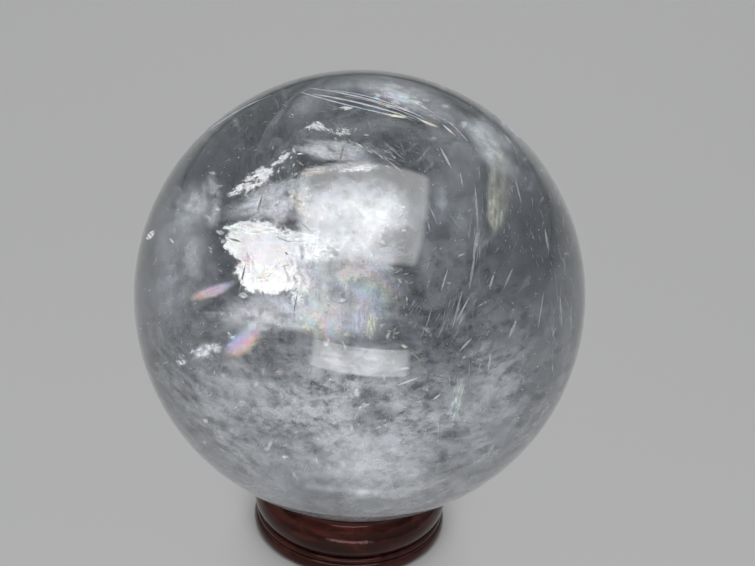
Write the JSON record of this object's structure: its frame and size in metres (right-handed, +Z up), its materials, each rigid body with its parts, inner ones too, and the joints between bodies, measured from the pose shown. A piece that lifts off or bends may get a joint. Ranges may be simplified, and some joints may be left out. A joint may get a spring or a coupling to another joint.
{
  "type": "calcite sphere",
  "caption": "Polished clear calcite sphere with white fractures and clouds inside, resting on a small glossy turned wooden ring stand.",
  "frame": {"origin": "centre of the ring stand's flat foot, on the surface that it rests on", "axes": "+Z up along the common axis of sphere and ring; -Y is the side seen in the picture"},
  "size_m": [0.08, 0.08, 0.0895],
  "materials": {
    "polished_calcite": "polished clear calcite with milky veils and bright internal fractures",
    "lacquered_wood": "dark reddish-brown turned wood under high-gloss lacquer"
  },
  "bodies": {
    "root": {"calcite_sphere": "polished_calcite", "ring_stand": "lacquered_wood"}
  },
  "joints": []
}
